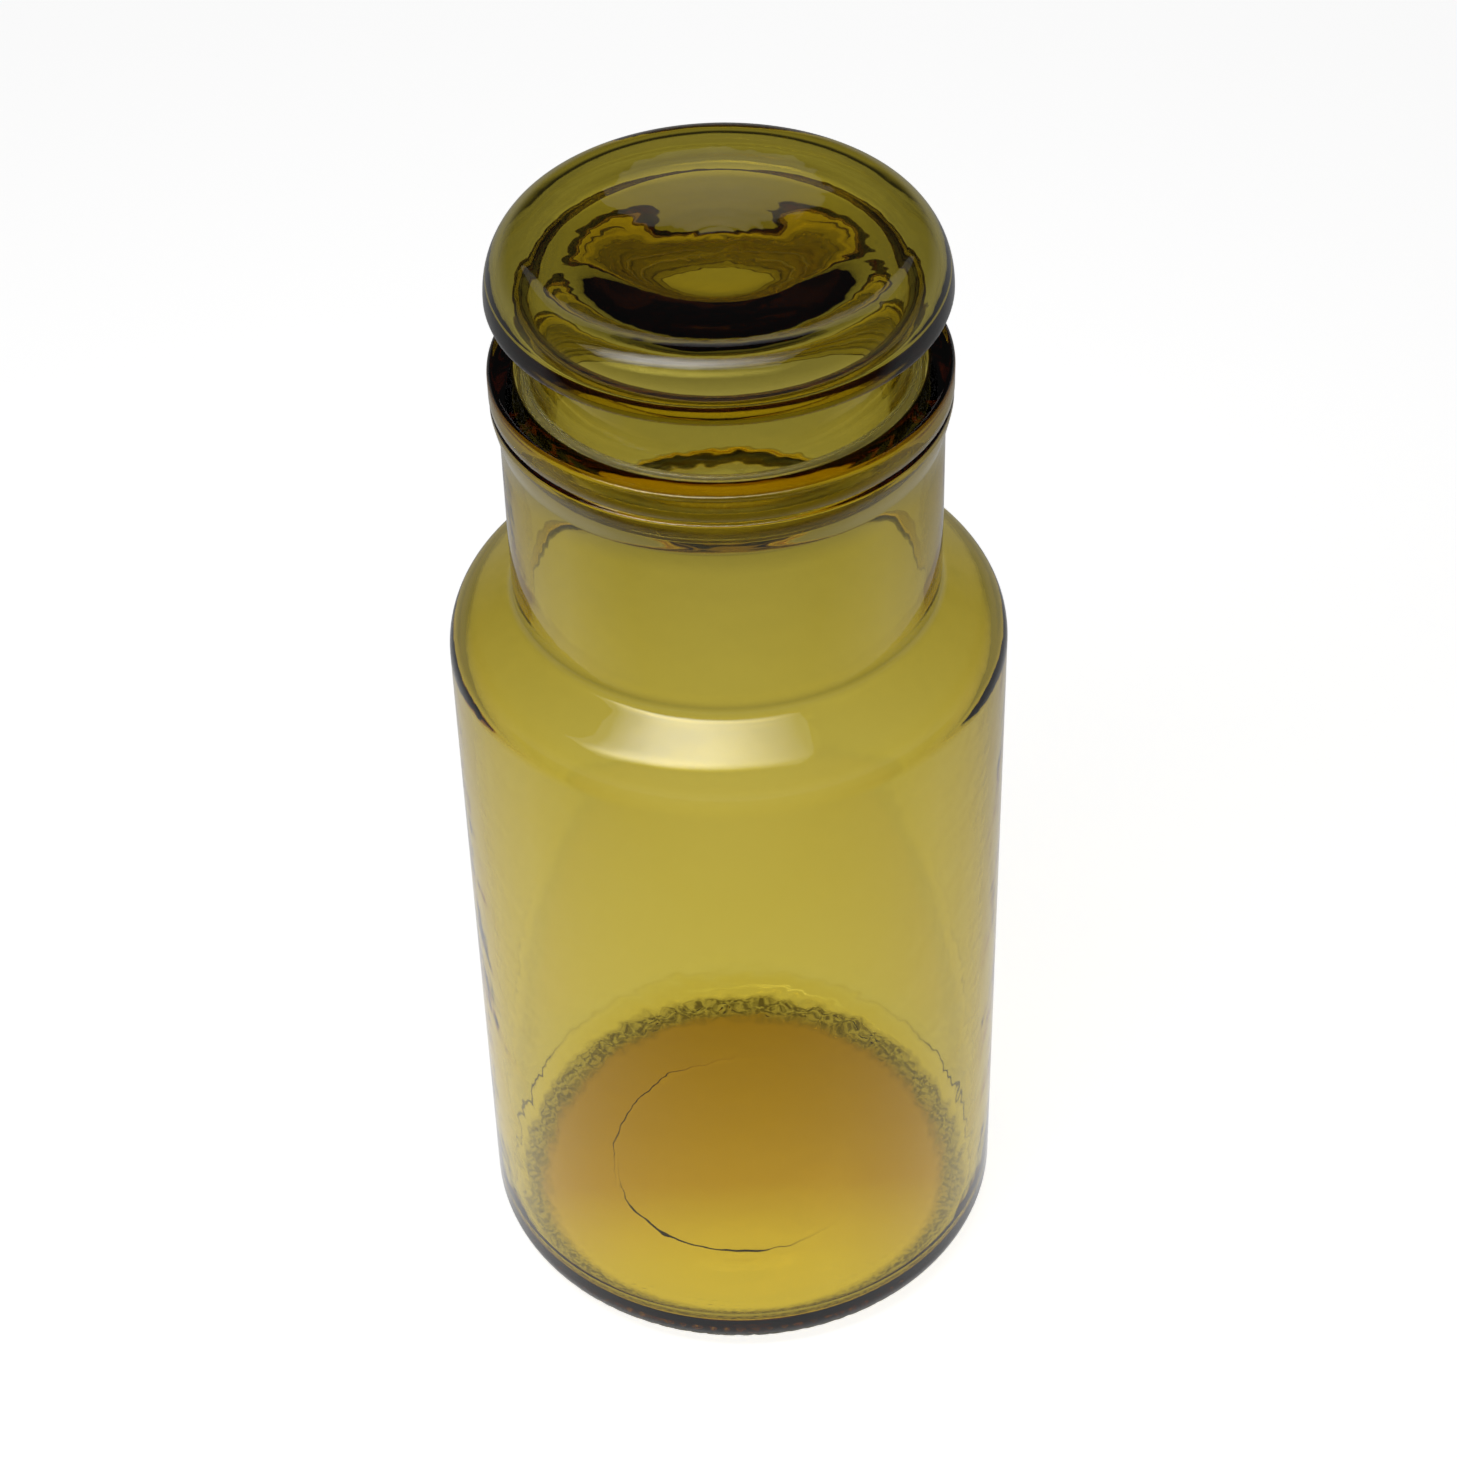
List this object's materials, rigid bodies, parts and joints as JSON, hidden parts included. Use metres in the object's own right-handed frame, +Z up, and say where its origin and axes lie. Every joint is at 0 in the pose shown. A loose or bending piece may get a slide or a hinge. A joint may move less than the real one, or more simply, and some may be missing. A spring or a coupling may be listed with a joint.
{
  "type": "stoppered specimen jar",
  "caption": "Wide-mouth cylindrical glass jar with a rounded shoulder, a beaded lip and a hollow mushroom stopper seated in a finned sealing collar.",
  "frame": {"origin": "on the jar's axis at the plane it stands on", "axes": "+Z up along the jar's axis, through the stopper; the jar is round, so +X and +Y are free, with -Y taken as the front"},
  "size_m": [0.1, 0.1, 0.2263],
  "materials": {
    "jar_glass": "clear olive-amber blown glass, glossy, darker and browner where it is thick",
    "stopper_glass": "clear olive-amber blown glass, glossy, with faint chill rings in the dished top",
    "collar_plastic": "translucent moulded polyethylene, satin"
  },
  "bodies": {
    "jar": {"jar_body": "jar_glass"},
    "collar": {"sealing_collar": "collar_plastic"},
    "stopper": {"stopper": "stopper_glass"}
  },
  "joints": [
    {"name": "stopper_lift", "type": "slide", "parent": "jar", "child": "collar", "axis": [0, 0, 1], "range_m": [0, 0.12]},
    {"name": "stopper_turn", "type": "hinge", "parent": "collar", "child": "stopper", "pos_m": [0, 0, 0.2015], "axis": [0, 0, 1], "continuous": true}
  ]
}
